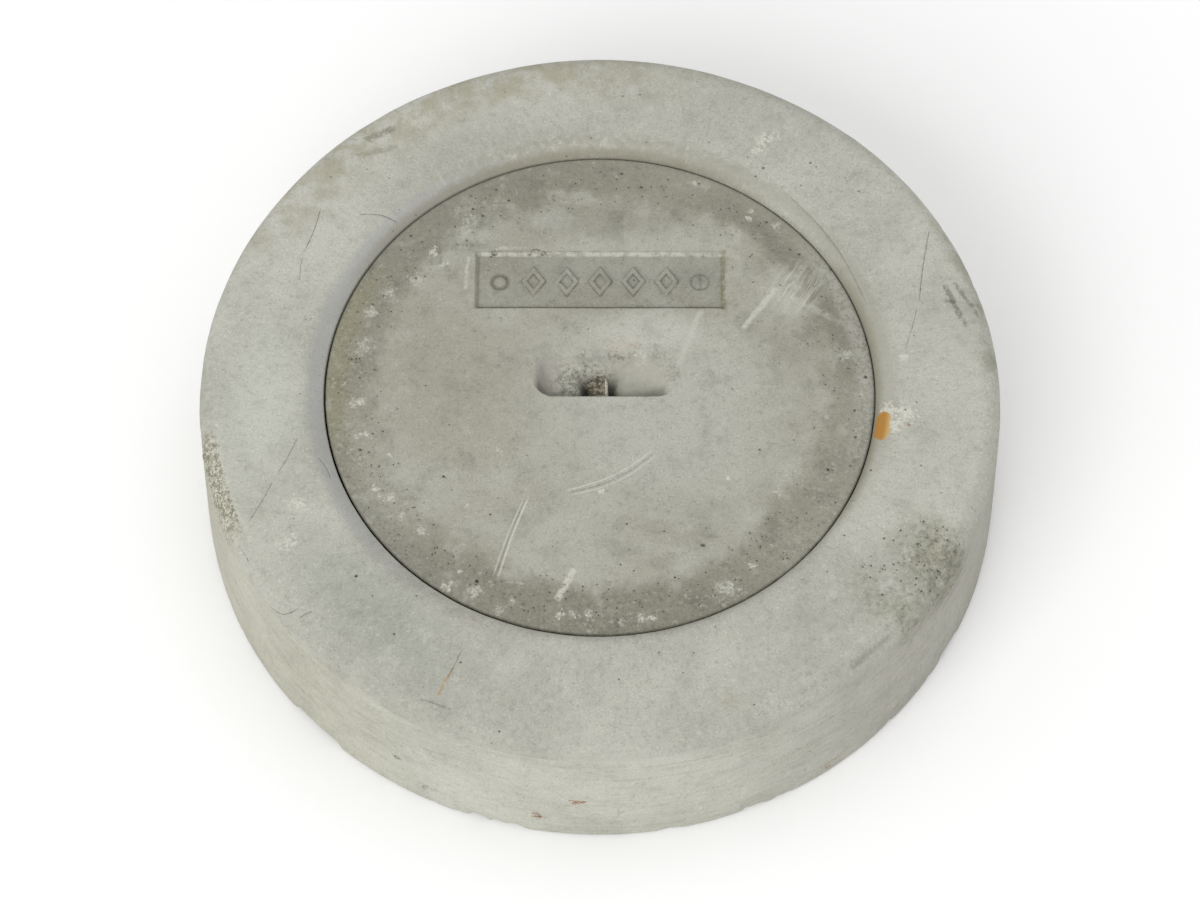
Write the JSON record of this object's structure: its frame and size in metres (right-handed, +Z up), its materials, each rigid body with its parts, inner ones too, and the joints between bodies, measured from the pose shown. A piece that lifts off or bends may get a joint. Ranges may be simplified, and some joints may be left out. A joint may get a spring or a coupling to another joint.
{
  "type": "inspection shaft cover",
  "caption": "Round precast concrete inspection-shaft cover: a tapered lid with a lifting bar in a scooped pocket, seated in a thick ring surround.",
  "frame": {"origin": "centre of the surround's underside, on the ground", "axes": "+Z up through the lid, +Y from the lifting pocket towards the name panel, +X to the reader's right"},
  "size_m": [0.3998, 0.3998, 0.095],
  "materials": {
    "ring_concrete": "matte",
    "lid_concrete": "matte",
    "bar_steel": "satin",
    "cage_steel": "matte"
  },
  "bodies": {
    "surround": {"surround": "ring_concrete", "surround_hoop_lower": "cage_steel", "surround_hoop_upper": "cage_steel", "surround_link_1": "cage_steel", "surround_link_2": "cage_steel", "surround_link_3": "cage_steel", "surround_link_4": "cage_steel", "surround_link_5": "cage_steel", "surround_link_6": "cage_steel"},
    "lid": {"lid": "lid_concrete", "lifting_bar": "bar_steel", "lid_hoop": "cage_steel", "lid_bar_front": "cage_steel", "lid_bar_back": "cage_steel", "lid_bar_left": "cage_steel", "lid_bar_right": "cage_steel"}
  },
  "joints": [
    {"name": "lid_lift", "type": "slide", "parent": "surround", "child": "lid", "axis": [0, 0, 1], "range_m": [0, 0.15]}
  ]
}
